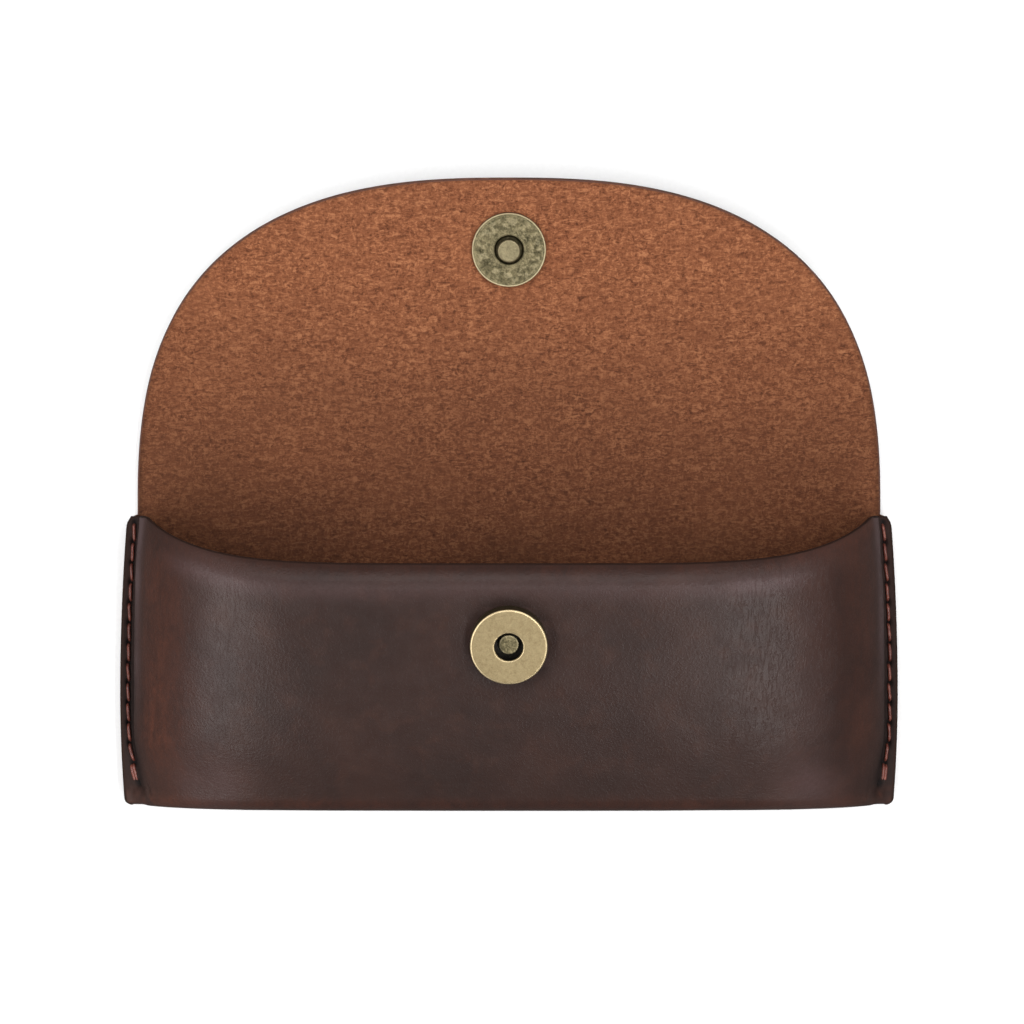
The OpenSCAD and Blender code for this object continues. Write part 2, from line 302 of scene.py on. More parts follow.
def voronoi(nt, vec, scale, feature="F1", rand=1.0):
    n = nt.nodes.new("ShaderNodeTexVoronoi"); n.feature = feature
    n.inputs["Scale"].default_value = scale; n.inputs["Randomness"].default_value = rand
    nt.links.new(vec, n.inputs["Vector"])
    return n.outputs["Distance"]


def attr(nt, name):
    a = nt.nodes.new("ShaderNodeAttribute"); a.attribute_name = name
    return a.outputs["Fac"]


def map_range(nt, v, a, b, c=0.0, d=1.0):
    m = nt.nodes.new("ShaderNodeMapRange"); m.clamp = True
    nt.links.new(v, m.inputs["Value"])
    for k, x in (("From Min", a), ("From Max", b), ("To Min", c), ("To Max", d)):
        m.inputs[k].default_value = x
    return m.outputs["Result"]


def bump(nt, bsdf, height, dist, strength=1.0, below=None):
    b = nt.nodes.new("ShaderNodeBump")
    b.inputs["Strength"].default_value = strength; b.inputs["Distance"].default_value = dist
    nt.links.new(height, b.inputs["Height"])
    if below is not None:
        nt.links.new(below, b.inputs["Normal"])
    if bsdf is not None:
        nt.links.new(b.outputs["Normal"], bsdf.inputs["Normal"])
    return b.outputs["Normal"]


def grain_leather():
    """Waxed pull-up leather: near-black brown, redder where it is stretched over an edge, with a soft broken sheen."""
    m, nt, b = new_mat("grain_leather")
    vec = uv_of(nt)
    cloud = noise(nt, vec, 38, 4, 0.55, 0.6)
    blotch = noise(nt, vec, 170, 3, 0.6, 0.3)
    fine = noise(nt, vec, 900, 4, 0.6)
    base = ramp(nt, [(0.30, (0.0240, 0.0130, 0.0108)), (0.52, (0.0310, 0.0160, 0.0130)), (0.75, (0.0400, 0.0200, 0.0155))], cloud)
    base = mix(nt, base, (0.050, 0.0225, 0.0160), map_range(nt, blotch, 0.52, 0.80, 0, 0.5))
    # pull-up: wax moved out of the stretched leather lets the red-brown through
    streak = noise(nt, uv_of(nt, (1.5, 0.75, 1)), 120, 5, 0.70, 0.9)
    pull = math_(nt, "MULTIPLY", attr(nt, "pull"), map_range(nt, streak, 0.34, 0.62, 0.38, 1.12), True)
    pull = math_(nt, "MULTIPLY", pull, map_range(nt, noise(nt, uv_of(nt, (1.7, 0.8, 1)), 640, 3, 0.6, 0.8), 0.32, 0.66, 0.62, 1.25), True)
    base = mix(nt, base, (0.086, 0.029, 0.0175), pull)
    # painted highlight: a lighter grey-pink tone mixed in along the ridge under the mouth, at the bottom corners and
    # beside the seams, in place of sheen
    base = mix(nt, base, (0.085, 0.050, 0.049), math_(nt, "MULTIPLY", attr(nt, "worn"), map_range(nt, fine, 0.3, 0.7, 0.75, 1.25), True))
    # painted shade: near-black mixed in where the dark attribute marks holes, creases, the lower walls, the lip, the
    # bottom and a ring round the socket
    base = mix(nt, base, (0.007, 0.0045, 0.0042), attr(nt, "dark"))
    # fine wear scratches along and across
    sc1 = noise(nt, uv_of(nt, (1, 0.06, 1)), 1500, 2, 0.5, 1.2)
    base = mix(nt, base, (0.075, 0.040, 0.030), map_range(nt, sc1, 0.70, 0.84, 0, 0.25))
    nt.links.new(base, b.inputs["Base Color"])
    rough = map_range(nt, noise(nt, vec, 240, 4, 0.6, 0.4), 0.3, 0.75, 0.32, 0.42)
    rough = math_(nt, "ADD", rough, map_range(nt, cloud, 0.3, 0.7, 0.02, -0.02))
    rough = math_(nt, "ADD", rough, math_(nt, "MULTIPLY", attr(nt, "matte"), 0.44))
    nt.links.new(rough, b.inputs["Roughness"])
    b.inputs["Specular IOR Level"].default_value = 0.23
    b.inputs["IOR"].default_value = 1.45
    pores = voronoi(nt, vec, 2100, "SMOOTH_F1")
    cells = voronoi(nt, vec, 950, "DISTANCE_TO_EDGE")
    crease = noise(nt, uv_of(nt, (2.0, 0.42, 1)), 430, 3, 0.55, 1.0)
    crease = math_(nt, "ABSOLUTE", math_(nt, "SUBTRACT", crease, 0.5))
    crease = map_range(nt, crease, 0.0, 0.030, 0.0, 1.0)
    h = math_(nt, "MULTIPLY", map_range(nt, cells, 0.0, 0.16), 0.22)
    h = math_(nt, "ADD", h, math_(nt, "MULTIPLY", pores, 0.40))
    h = math_(nt, "ADD", h, math_(nt, "MULTIPLY", fine, 0.55))
    cr = math_(nt, "MULTIPLY", crease, attr(nt, "crease"))
    h = math_(nt, "ADD", h, math_(nt, "MULTIPLY", cr, 0.40))
    n1 = bump(nt, None, h, 0.00009, 0.7)
    bump(nt, b, noise(nt, vec, 75, 3, 0.5), 0.0006, 0.3, n1)
    return m


def flesh_leather():
    """The napped flesh side: short fibres with darker flecks between them."""
    m, nt, b = new_mat("flesh_leather")
    vec = uv_of(nt)
    cloud = noise(nt, vec, 30, 4, 0.6, 0.4)
    mott = noise(nt, vec, 150, 4, 0.62, 0.5)
    fib = noise(nt, uv_of(nt, (0.62, 1.45, 1)), 830, 3, 0.7, 1.3)
    fib2 = noise(nt, uv_of(nt, (1.2, 0.75, 1)), 900, 3, 0.7, 1.1)
    f = math_(nt, "ADD", math_(nt, "MULTIPLY", fib, 0.60), math_(nt, "MULTIPLY", fib2, 0.40))
    base = ramp(nt, [(0.35, (0.0688, 0.0215, 0.0094)), (0.43, (0.1462, 0.0473, 0.0205)), (0.51, (0.2236, 0.0765, 0.0328)), (0.60, (0.3612, 0.1445, 0.0656))], f)
    base = mix(nt, base, (0.176, 0.0575, 0.0250), map_range(nt, mott, 0.45, 0.75, 0.0, 0.45))
    base = mix(nt, base, (0.258, 0.0945, 0.0425), map_range(nt, cloud, 0.5, 0.8, 0.0, 0.35))
    # painted shade: darkened by the dark attribute towards the flap's fold and all over the inside of the pocket; also
    # along the flap's edges
    base = mix(nt, base, (0.022, 0.0085, 0.0050), attr(nt, "dark"))
    nt.links.new(base, b.inputs["Base Color"])
    b.inputs["Roughness"].default_value = 0.95
    b.inputs["Specular IOR Level"].default_value = 0.15
    b.inputs["Sheen Weight"].default_value = 0.08
    b.inputs["Sheen Roughness"].default_value = 0.6
    b.inputs["Sheen Tint"].default_value = (1.0, 0.72, 0.52, 1)
    h = math_(nt, "ADD", math_(nt, "MULTIPLY", f, 1.0), math_(nt, "MULTIPLY", mott, 0.3))
    bump(nt, b, h, 0.0008, 0.75)
    return m


def edge_leather(name, lift=1.0):
    """Cut edge, sanded, dyed and burnished."""
    m, nt, b = new_mat(name)
    vec = uv_of(nt)
    n = noise(nt, vec, 300, 4, 0.6)
    base = ramp(nt, [(0.35, (0.014 * lift, 0.0065 * lift, 0.0045 * lift)), (0.55, (0.026 * lift, 0.0115 * lift, 0.0080 * lift)), (0.75, (0.048 * lift, 0.020 * lift, 0.013 * lift))], n)
    nt.links.new(base, b.inputs["Base Color"])
    b.inputs["Specular IOR Level"].default_value = 0.15
    nt.links.new(map_range(nt, n, 0.3, 0.7, 0.50, 0.70), b.inputs["Roughness"])
    lay = noise(nt, uv_of(nt, (0.3, 9, 1)), 700, 3, 0.6)
    bump(nt, b, lay, 0.00012, 0.6)
    return m


def thread_mat():
    m, nt, b = new_mat("waxed_thread")
    vec = uv_of(nt)
    n = noise(nt, vec, 500, 4, 0.6)
    base = ramp(nt, [(0.3, (0.085, 0.020, 0.014)), (0.55, (0.180, 0.047, 0.031)), (0.75, (0.33, 0.115, 0.080))], n)
    # painted shade: darker where the thread sinks into the holes
    base = mix(nt, base, (0.022, 0.006, 0.005), attr(nt, "dark"))
    nt.links.new(base, b.inputs["Base Color"])
    b.inputs["Roughness"].default_value = 0.36
    b.inputs["Coat Weight"].default_value = 0.35
    b.inputs["Coat Roughness"].default_value = 0.25
    fil = node(nt, "ShaderNodeTexWave", Scale=2600.0, Distortion=1.5)
    fil.inputs["Detail"].default_value = 1.0
    nt.links.new(uv_of(nt, (1.0, 0.5, 1)), fil.inputs["Vector"])
    bump(nt, b, fil.outputs["Fac"], 0.00005, 0.5)
    return m


def metal(name, light, dark, lo, hi, r0, r1, scale=700.0, relief=0.00006, patina_and_shade=0.5):
    m, nt, b = new_mat(name)
    tc = nt.nodes.new("ShaderNodeTexCoord"); vec = tc.outputs["Object"]
    n = noise(nt, vec, scale, 6, 0.68, 0.6)
    n2 = noise(nt, vec, scale * 3.1, 4, 0.6)
    k = math_(nt, "ADD", math_(nt, "MULTIPLY", n, 0.7), math_(nt, "MULTIPLY", n2, 0.3))
    base = ramp(nt, [(lo, dark), ((lo + hi) / 2, tuple(0.45 * p + 0.55 * q for p, q in zip(dark, light))), (hi, light)], k)
    # darkened by the patina mask: real patina in hollows, and painted shade on the side walls of the socket cup and
    # stud disc
    base = mix(nt, base, tuple(0.35 * x for x in dark), math_(nt, "MULTIPLY", attr(nt, "patina_and_shade"), map_range(nt, n, 0.3, 0.7, 1.15, 0.75 if patina_and_shade > 0.4 else 0.5), True))
    # lightened by the rub mask: real wear on edges and raised marks, and a painted highlight on the rims
    base = mix(nt, base, tuple(min(1.0, 1.9 * x + 0.07) for x in light), attr(nt, "rub_and_highlight"))
    nt.links.new(base, b.inputs["Base Color"])
    b.inputs["Metallic"].default_value = 1.0
    r = map_range(nt, k, lo, hi, r1, r0)
    nt.links.new(r, b.inputs["Roughness"])
    bump(nt, b, k, relief, 0.8)
    return m


GRAIN, FLESH, THREAD = grain_leather(), flesh_leather(), thread_mat()
EDGE, EDGE_FLAP = edge_leather("edge_leather"), edge_leather("edge_leather_flap", 4.5)
BRASS = metal("antique_brass", (0.37, 0.290, 0.160), (0.235, 0.178, 0.094), 0.36, 0.60, 0.42, 0.55, 900.0, 0.00004)
BRASS_OLD = metal("antique_brass_worn", (0.236, 0.196, 0.109), (0.052, 0.047, 0.025), 0.36, 0.64, 0.42, 0.62, 620.0, 0.00016)
# painted shade: the plated steel base plate is given a near-black colour, standing in for the shade down the socket's
# hole
STEEL = metal("plated_steel", (0.040, 0.036, 0.030), (0.016, 0.014, 0.012), 0.36, 0.62, 0.40, 0.6, 800.0, 0.00008)
FERRITE = metal("ferrite", (0.022, 0.021, 0.021), (0.010, 0.010, 0.010), 0.3, 0.7, 0.6, 0.75, 1200.0, 0.00008)

# ---------------------------------------------------------------- the moulded front
def corner(y):
    u = np.clip((y - (TOP_Y - 3)) / 3, 0, 1); v = np.clip(((WALL_Y + 1.5) - y) / 1.5, 0, 1)
    return 2.4 * (1 - np.sqrt(1 - u * u)) + 1.2 * (1 - np.sqrt(1 - v * v))


def edge_x(y):
    return HALF_W - np.where(y > -8, 1.7 * ((y + 8) / 43) ** 2, 1.1 * ((y + 8) / 27) ** 2)


def outline_x(y): return edge_x(y) - corner(y)
def tuck(y): return 1.6 * ease((-18 - y) / 14)
def base_x(y): return edge_x(y) - 3.5 - tuck(y)
def seam_x(y): return edge_x(y) - 2.1 - tuck(y)
def crown_z(y): return 22.2 + 0.5 * (y + 30) - 0.00356 * (y + 30) ** 2
def crown_m(y): return 0.5 - 0.00712 * (y + 30)
def bulge(c, y=10.0):
    """Cross-section of the moulded front: square-shouldered, softer towards the bottom corners."""
    return np.sqrt(np.maximum(0, 1 - np.sin(np.pi / 2 * np.clip(c, 0, 1)) ** (5.2 - 1.4 * ease((-14 - y) / 20))))
def mouth_y(x): return np.minimum(FOLD_Y - 11.5 + 11.5 * (np.abs(x) / 88) ** 5.6, TOP_Y)
def lip(d): return 4.0 * (1 - np.clip(d / 7.0, 0, 1)) ** 2


RHO = 0.8
SOCKET_Y = 5.65
TILT = math.atan(crown_m(SOCKET_Y))
PITCH, N_HOLES = 4.88, 14
HOLES_Y = FOLD_Y - 2.5 - PITCH * np.arange(N_HOLES)


def front_grid(cs, inner, rho):
    """One face of the front, columns across and rows from the mouth down the face, round the bottom and under it."""
    inn = 1.0 if inner else 0.0
    nf, na, nb = 118, 14, 10
    f = np.linspace(0, 1, nf) ** 0.92
    arc = np.linspace(0, 1, na + 1)[1:]
    out = np.zeros((len(cs), nf + na + 7 + nb + 4, 3))
    for i, c in enumerate(cs):
        a, s = abs(c), (-1 if c < 0 else 1)

        def X(y):
            y = np.asarray(y, float)
            bx = base_x(y) - inn * T
            xo = outline_x(y) - rho
            return s * np.where(a <= 1, bx * math.sin(math.pi / 2 * min(a, 1)), bx + (a - 1) * (xo - bx))
        b = float(bulge(a, WALL_Y + 3)) if a <= 1 else 0.0
        base = FLANGE_Z - inn * T
        r1 = (T + (SHOULDER_R - T) * b) if not inner else (0.08 + (SHOULDER_R - T - 0.08) * b)
        r2 = (T + (UNDER_R - T) * b) if not inner else (0.08 + (UNDER_R - T - 0.08) * b)
        yw, floor_z = WALL_Y + inn * T, inn * T
        def zrow(y):
            bb = bulge(a, y) if a <= 1 else 0.0
            return base + (crown_z(y) - inn * 1.03 * T - base) * bb
        ang = math.atan(float(zrow(WALL_Y + 4.5) - zrow(WALL_Y + 3.5)))
        y_end = yw + r1 * (1 - math.sin(ang))
        x0 = float(X(26.0))
        m0 = float(mouth_y(x0)) - (inn * 0.8 if inner else 0.0)
        y0 = m0 - rho
        ys = y0 + (y_end - y0) * f
        xo = s * np.where(a <= 1, base_x(ys) * math.sin(math.pi / 2 * min(a, 1)), 200)
        dl = mouth_y(xo) - ys
        zs = zrow(ys) - lip(dl) * (bulge(a, ys) if a <= 1 else 0.0)
        h = float(zrow(y_end))
        cy, cz = yw + r1, h - r1 * math.cos(ang)
        p = ang + (math.pi / 2 - ang) * arc
        ya, za = cy - r1 * np.sin(p), cz + r1 * np.cos(p)
        zw = np.linspace(za[-1], floor_z + r2, 8)[1:]
        yw_ = np.full(7, yw)
        q = math.pi / 2 + math.pi / 2 * np.linspace(0, 1, nb + 1)[1:]
        yu, zu = yw + r2 - r2 * np.sin(q), floor_z + r2 + r2 * np.cos(q)
        yj = np.linspace(yu[-1], JOINT_Y, 5)[1:]
        y = np.concatenate([ys, ya, yw_, yu, yj]); z = np.concatenate([zs, za, zw, zu, np.full(4, floor_z)])
        out[i, :, 0] = X(y); out[i, :, 1] = y; out[i, :, 2] = z
    return out


def grid_normals(g):
    gu = np.gradient(g, axis=0); gv = np.gradient(g, axis=1)
    n = np.cross(gu, gv)
    n /= np.maximum(np.linalg.norm(n, axis=2, keepdims=True), 1e-9)
    return n


half = np.concatenate([np.linspace(0, 0.62, 26), np.linspace(0.62, 0.985, 30)[1:], np.linspace(0.985, 1.0, 4)[1:], np.linspace(1.0, 2.0, 21)[1:]])
cs = np.concatenate([-half[:0:-1], half])
go = front_grid(cs, False, RHO)
gi = front_grid(cs, True, RHO)
ic = np.abs(cs)[:, None, None]
low = ease((-22 - go[..., 1:2]) / 10)
ramp_z = FLANGE_Z * (1 + 0.55 * np.clip(1 - (ic - 1) / 0.8, 0, 1) ** 2)
up = (go[..., 2:3] > 3.2) & (ic > 0.90)
go[..., 2:3] += np.where(up, low * np.clip(ramp_z - go[..., 2:3], 0, 3) * ease((go[..., 2:3] - 3.2) / 1.2), 0)
foot = (ease((ic - 0.90) / 0.08) * ease((1.55 - ic) / 0.25)) * (0.35 + 0.65 * ease((26 - go[..., 1:2]) / 50))
foot2 = ease((ic - 0.84) / 0.08) * ease((1.8 - ic) / 0.3) * ease((-17 - go[..., 1:2]) / 12)
for k in range(60):
    sm = go.copy()
    sm[1:-1] = (go[:-2] + 2 * go[1:-1] + go[2:]) / 4
    go = go + (sm - go) * (np.maximum(foot, foot2) if k < 14 else foot2)
nrm = grid_normals(go)
if nrm[len(cs) // 2, 40, 2] < 0:
    nrm = -nrm
X, Y, Z = go[..., 0], go[..., 1], go[..., 2]
S = np.sign(X)
aX = np.abs(X)
face = (Y > WALL_Y + 1.2) & (Z > 3.0)
# seam line pressed into the flange, holes, and small hand-made unevenness
dseam = aX - seam_x(Y)
on_flange = ease((aX - base_x(Y) + 0.7) / 0.9) * (Z > 3)
press = 0.28 * np.exp(-(dseam / 0.75) ** 2) * on_flange * ease((Y - HOLES_Y[-1] + 2) / 1.5) * ease((HOLES_Y[0] + 2 - Y) / 1.5)
hole = np.zeros_like(X)
for k, hy in enumerate(HOLES_Y):
    dx = aX - seam_x(hy); dy = (Y - hy) * 0.72
    hole = np.maximum(hole, np.exp(-((dx ** 2 + dy ** 2) / 0.42) ** 1.3) * (Z > 3))
uneven = 0.22 * vnoise(X / 23 + 7, Y / 19 + 3, 3) + 0.10 * vnoise(X / 9 + 1, Y / 8 + 5, 4)
calm = ease((aX - 3) / 8) * 0 + 1.0
rs = np.hypot(X, (Y - SOCKET_Y))
near = np.exp(-np.clip(rs - 9.4, 0, None) / 1.9) * (Z > 20)
off = uneven * np.where(face, 1, 0.25) * (1 - on_flange) * ease((aX < 999) * 1.0) - press - 0.75 * hole - 0.30 * near
# the corner at the bottom of each seam is drawn in where the thread is finished off
for s_, yb, amp in ((-1, -31.0, 0.55), (1, -31.4, 0.40)):
    dpx = (X - s_ * (seam_x(np.array(-31.0)) - 0.6)) / 3.2; dpy = (Y - yb) / 1.1
    off -= amp * np.exp(-(dpx ** 2 + dpy ** 2)) * (Z > 2.5)
    dpy2 = (Y - yb + 2.0) / 0.9
    off += 0.35 * amp * np.exp(-(dpx ** 2 + dpy2 ** 2)) * (Z > 2.5)
for s_, amp in ((-1, 0.30), (1, 0.16)):
    px_, py_ = s_ * (X - s_ * seam_x(np.array(-30.0))), Y + 31.6
    folds = np.sin((px_ * 0.55 - py_ * 0.35 + 0.5 * vnoise(X / 2.1, Y / 2.1, 19)) * 4.3)
    off += amp * folds * np.exp(-((px_ + 1.8) / 3.4) ** 2 - (py_ / 1.5) ** 2) * (Z > 2.5)
off = np.clip(off, -1.3, 0.16) - 0.05
rim = np.minimum(1, np.minimum(np.arange(go.shape[1])[None, :] / 3.0, 1))
edge_u = np.minimum(np.arange(len(cs)), np.arange(len(cs))[::-1])[:, None] / 1.5
off = off * np.clip(rim, 0, 1) * np.clip(edge_u, 0.35, 1)
off[:, -6:] *= 0
go2 = go + nrm * off[..., None]
# colour guides
arcs = -arc_uv(go)[..., 1]
cc = np.abs(cs)[:, None] * np.ones_like(X)
lip_d = mouth_y(X) - Y
shoulder = np.exp(-((cc - 0.745) / 0.125) ** 2) * (Z > 6) * ease((lip_d - 1.5) / 5) * np.where(X < 0, 1.2, 0.75) * (0.25 + 0.75 * ease((Y + 36) / 26))
lipband = np.exp(-((lip_d - 1.8) / 2.3) ** 2) * (Z > 6) * (cc < 0.93)
bottom = np.exp(-((Y - (WALL_Y + 1.7)) / 1.6) ** 2) * (Z > 9)
tab = ease((cc - 0.90) / 0.1) * ease((-29.5 - Y) / 3) * (Z > 2)
pull = 0.50 * shoulder + 0.40 * lipband + 0.45 * bottom
pull = pull * (0.80 + 0.35 * vnoise(X / 14, Y / 17, 11)) * (cc < 1.0) + 0.42 * tab * (0.7 + 0.6 * vnoise(X / 1.7, Y / 1.3, 17))
# painted shade: the dark mask darkens the stitch holes, the crease at the wall foot, the lower walls, a band along the
# lip, the bottom rounding, the lower middle of the face, the bottom-right tab, a band at the right shoulder and a ring
# round the socket; the flange is also made slightly darker
dark = 0.10 * on_flange * ease((Y + 33) / 6) + 0.95 * hole + 0.22 * np.exp(-((aX - base_x(Y) - 0.3) / 0.7) ** 2) * (Z > 3)
dark = dark + 0.38 * ease((cc - 0.86) / 0.12) * ease((20 - Y) / 34) * ease((Y + 34) / 5) * (Z > 3)
dark = dark + 0.24 * np.exp(-((lip_d - 1.6) / 2.2) ** 2) * ease((72 - aX) / 20) * (Z > 6) + 0.22 * bottom * ease((80 - aX) / 20)
dark = dark + 0.12 * ease((-22 - Y) / 7) * ease((60 - aX) / 25) * (Z > 3)
dark = dark + 0.25 * tab * (X > 0) + 0.26 * np.exp(-((X - 78) / 4.5) ** 2) * ease((20 - Y + 6) / 6) * ease((Y + 30) / 8) * (Z > 3)
dark = np.clip(dark + 0.45 * near * (rs > 8.9), 0, 1)
# painted highlight: a lighter grey-pink tone along the ridge under the mouth, at the bottom corners and up the walls
# beside the seam, standing in for sheen
worn = np.exp(-((lip_d - 6.4) / 2.5) ** 2) * (0.27 + 0.28 * np.where(X < 0, np.exp(-((aX - 65) / 12) ** 2), np.exp(-((aX - 58) / 9) ** 2))) * (Z > 6) * np.where(X < 0, ease((84 - aX) / 8), ease((76 - aX) / 14))
worn = worn + np.exp(-((aX - 71) / 8) ** 2) * (0.10 + 0.26 * np.exp(-((Y + 28) / 5) ** 2)) * (Z > 6)
worn = worn + np.exp(-((aX - base_x(Y) + 1.9) / 1.9) ** 2) * ease((Y + 22) / 46) * (Z > 3.4) * ease((cc - 0.80) / 0.08) * ease((1.02 - cc) / 0.04) * np.where(X < 0, 1.0, 0.75)
worn = np.clip(worn * (1 + 0.3 * vnoise(X / 6, Y / 5, 23)), 0, 1)
crs = np.exp(-(((X - 62) / 17) ** 2)) * ease((Y + 30) / 20) + 0.35 * np.exp(-(((X + 66) / 15) ** 2))
crs = np.clip(crs, 0, 1)
zero = np.zeros_like(X)
front = slab("moulded_front", go2, gi, RHO, ("round", "flat", "round", "round"), [GRAIN, FLESH, EDGE], arc_uv(go),
             {"pull": np.clip(pull, 0, 1), "dark": dark, "crease": crs, "worn": worn, "matte": ease((cc - 0.76) / 0.2) * (Z > 3) * np.where(X < 0, 0.45 + 0.55 * ease((Y + 34.5) / 4), 1.0)},
             # painted shade: the flesh face inside the pocket is darkened throughout
             {"pull": zero, "dark": 0.25 + zero, "crease": zero, "worn": zero, "matte": zero}, 6)
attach(front, "pocket"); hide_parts("front_panel")

# ---------------------------------------------------------------- back panel and flap
def flap_x(l):
    return FLAP_HALF * np.maximum(0, 1 - (np.clip(l, 0, FLAP_LEN) / FLAP_LEN) ** 2.65) ** (1 / 2.6)


ls = np.arange(-40, FLAP_LEN + 3, 0.05)
theta = np.where(ls < 0, 0, np.where(ls < ROOT_LEN, ROOT_A, np.where(ls < ROOT_LEN + CROWN_LEN, CROWN_A, TONGUE_A)))
kw = 130
theta_s = np.convolve(np.pad(theta, kw, mode="edge"), np.hanning(2 * kw + 1) / np.hanning(2 * kw + 1).sum(), mode="valid")
theta_s = np.where(ls < 0, 0, theta_s)
i0 = int(np.argmin(np.abs(ls)))
yy = np.cumsum(np.cos(theta_s)) * 0.05; zz = np.cumsum(np.sin(theta_s)) * 0.05
yy += FOLD_Y - yy[i0]; zz += T - zz[i0]


def spine(l):
    """Flesh-face point and surface direction at a distance along the flap (negative: the back panel)."""
    y = np.interp(l, ls, yy); z = np.interp(l, ls, zz); a = np.interp(l, ls, theta_s)
    y = np.where(l < 0, FOLD_Y + l, y); z = np.where(l < 0, T, z); a = np.where(l < 0, 0, a)
    return y, z, a


def inset_outline(rho):
    """Flap outline set in by rho: (distance along, half width, outward normal) from the fold line to the tip."""
    p = np.linspace(0, math.pi / 2, 4001)[:-8]
    l = FLAP_LEN * np.sin(p) ** (2 / 2.65)
    x = flap_x(l)
    dl, dx = np.gradient(l), np.gradient(x)
    dl[0], dx[0] = 1.0, 0.0
    m = np.maximum(np.hypot(dl, dx), 1e-12)
    nx, nl = dl / m, -dx / m
    lo = l - rho * nl
    top = np.maximum.accumulate(lo)
    keep = np.concatenate([[True], lo[1:] > top[:-1]])
    return lo[keep], (x - rho * nx)[keep], nx[keep], nl[keep]


def sheet_width(l):
    """Half width of the back and flap at a distance along them, smooth through the step at the fold line."""
    y = FOLD_Y + np.asarray(l, float)
    back = outline_x(np.minimum(y, TOP_Y))
    back = np.where(y > TOP_Y - 3, np.maximum(back, FLAP_HALF), back)
    return np.where(np.asarray(l) < -0.6, back, flap_x(np.maximum(l, 0)))


def leather_strip(name, lvals, nu, sides, rho=0.5):
    """A length of the back-and-flap sheet; columns across, rows along."""
    u = np.linspace(-1, 1, nu)
    u = np.sign(u) * (1 - (1 - np.abs(u)) ** 1.35)
    lv = np.asarray(lvals, float)
    y, z, a = spine(lv)
    li, xi, nxi, nli = inset_outline(rho)
    w = np.where(lv < 0.3, sheet_width(lv) - rho, np.interp(lv, li, xi))
    rn, rl = np.where(lv < 0.3, 1.0, np.interp(lv, li, nxi)), np.where(lv < 0.3, 0.0, np.interp(lv, li, nli))
    rim_dir = np.stack([rn, rl * np.cos(a), rl * np.sin(a)], -1)
    Xg = u[:, None] * w[None, :]
    wave = 0.35 * vnoise(Xg / 31 + 2, lv[None, :] / 27 + 9, 21) * ease((lv[None, :] - 30) / 30) * ease((FLAP_LEN - lv[None, :]) / 20)
    wave = wave * ease((np.hypot(Xg, lv[None, :] - (ROOT_LEN + CROWN_LEN + 17.2)) - 10) / 10)
    ny, nz = -np.sin(a), np.cos(a)
    top = np.stack([Xg, y[None, :] + ny[None, :] * wave, z[None, :] + nz[None, :] * wave - 0.0 * Xg], -1)
    bot = np.stack([Xg, y[None, :] + ny[None, :] * (wave - T) + 0 * Xg, z[None, :] + nz[None, :] * (wave - T) + 0 * Xg], -1)
    # bobbin side: thread groove on the back panel's rest face
    aXg = np.abs(Xg); yb = bot[..., 1]
    gro = np.exp(-((aXg - seam_x(yb)) / 0.55) ** 4) * (lv[None, :] < -1) * ease((yb - HOLES_Y[-1] + 1) / 0.8) * ease((HOLES_Y[0] + 1 - yb) / 0.8)
    bot[..., 2] += 0.85 * gro
    uvg = np.stack([Xg, np.broadcast_to(lv[None, :], Xg.shape)], -1)
    edge = np.exp(-(((w[None, :] - aXg) * np.maximum(rn, 0.05)[None, :]) / 0.7) ** 2)
    # painted shade: the flesh face darkens towards the fold and the mouth, where the pocket shades the flap; the edges
    # are also darker
    lr = lv + 4.0 * np.cos(lv / 11.0)
    worn = 0.60 * (1 - ease((lr + 14) / 86))
    dk_top = 0.20 * edge + worn[None, :] * (1 + 0.16 * vnoise(Xg / 26 + 4, lv[None, :] / 15 + 2, 77)) + zero_like(Xg)
    # painted shade in the thread groove on the grain face; the edges are also darker
    dk_bot = 0.35 * edge + 0.6 * gro
    pull_b = 0.30 * np.exp(-(((lv[None, :] - 1.5) / 3.5) ** 2)) + 0.16 * np.exp(-(((lv[None, :] - ROOT_LEN) / 6) ** 2)) + 0.20 * np.exp(-(((lv[None, :] - ROOT_LEN - CROWN_LEN) / 6) ** 2)) + zero_like(Xg)
    # the grain face is below, so the slab is built with its faces swapped
    return slab(name, top, bot, rho, sides, [FLESH, GRAIN, EDGE_FLAP], uvg,
                {"pull": zero_like(Xg), "dark": np.clip(dk_top, 0, 1), "crease": zero_like(Xg)},
                {"pull": pull_b, "dark": np.clip(dk_bot, 0, 1), "crease": 0.25 + zero_like(Xg)}, 5, True, rim_dir)


def zero_like(a): return np.zeros(np.shape(a))


S1, S2 = ROOT_LEN / 2, ROOT_LEN + CROWN_LEN / 2
lb = np.concatenate([np.linspace(JOINT_Y - FOLD_Y, -4.2, 110), np.linspace(-4.2, -0.6, 14)[1:], [-0.55], np.linspace(-0.35, S1, 34)])
base = leather_strip("back_and_flap_base", lb, 121, ("flat", "flat", "round", "round"))
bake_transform(base)
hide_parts("back_panel", "flap_root")

lm = np.linspace(S1, S2, 64)
middle = leather_strip("flap_middle", lm, 121, ("flat", "flat", "round", "round"))


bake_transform(middle)
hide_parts("flap_root", "flap_crown")

li_, xi_, nx_, nl_ = inset_outline(0.5)
near_tip = np.interp(np.linspace(0, 1, 90), np.linspace(0, 1, len(li_[li_ > 60])), li_[li_ > 60])
lt = np.concatenate([np.linspace(S2, near_tip[0], 46)[:-1], near_tip])
tip = leather_strip("flap_front", lt, 121, ("flat", "round", "round", "round"))
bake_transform(tip)
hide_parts("flap_tongue", "flap_crown")

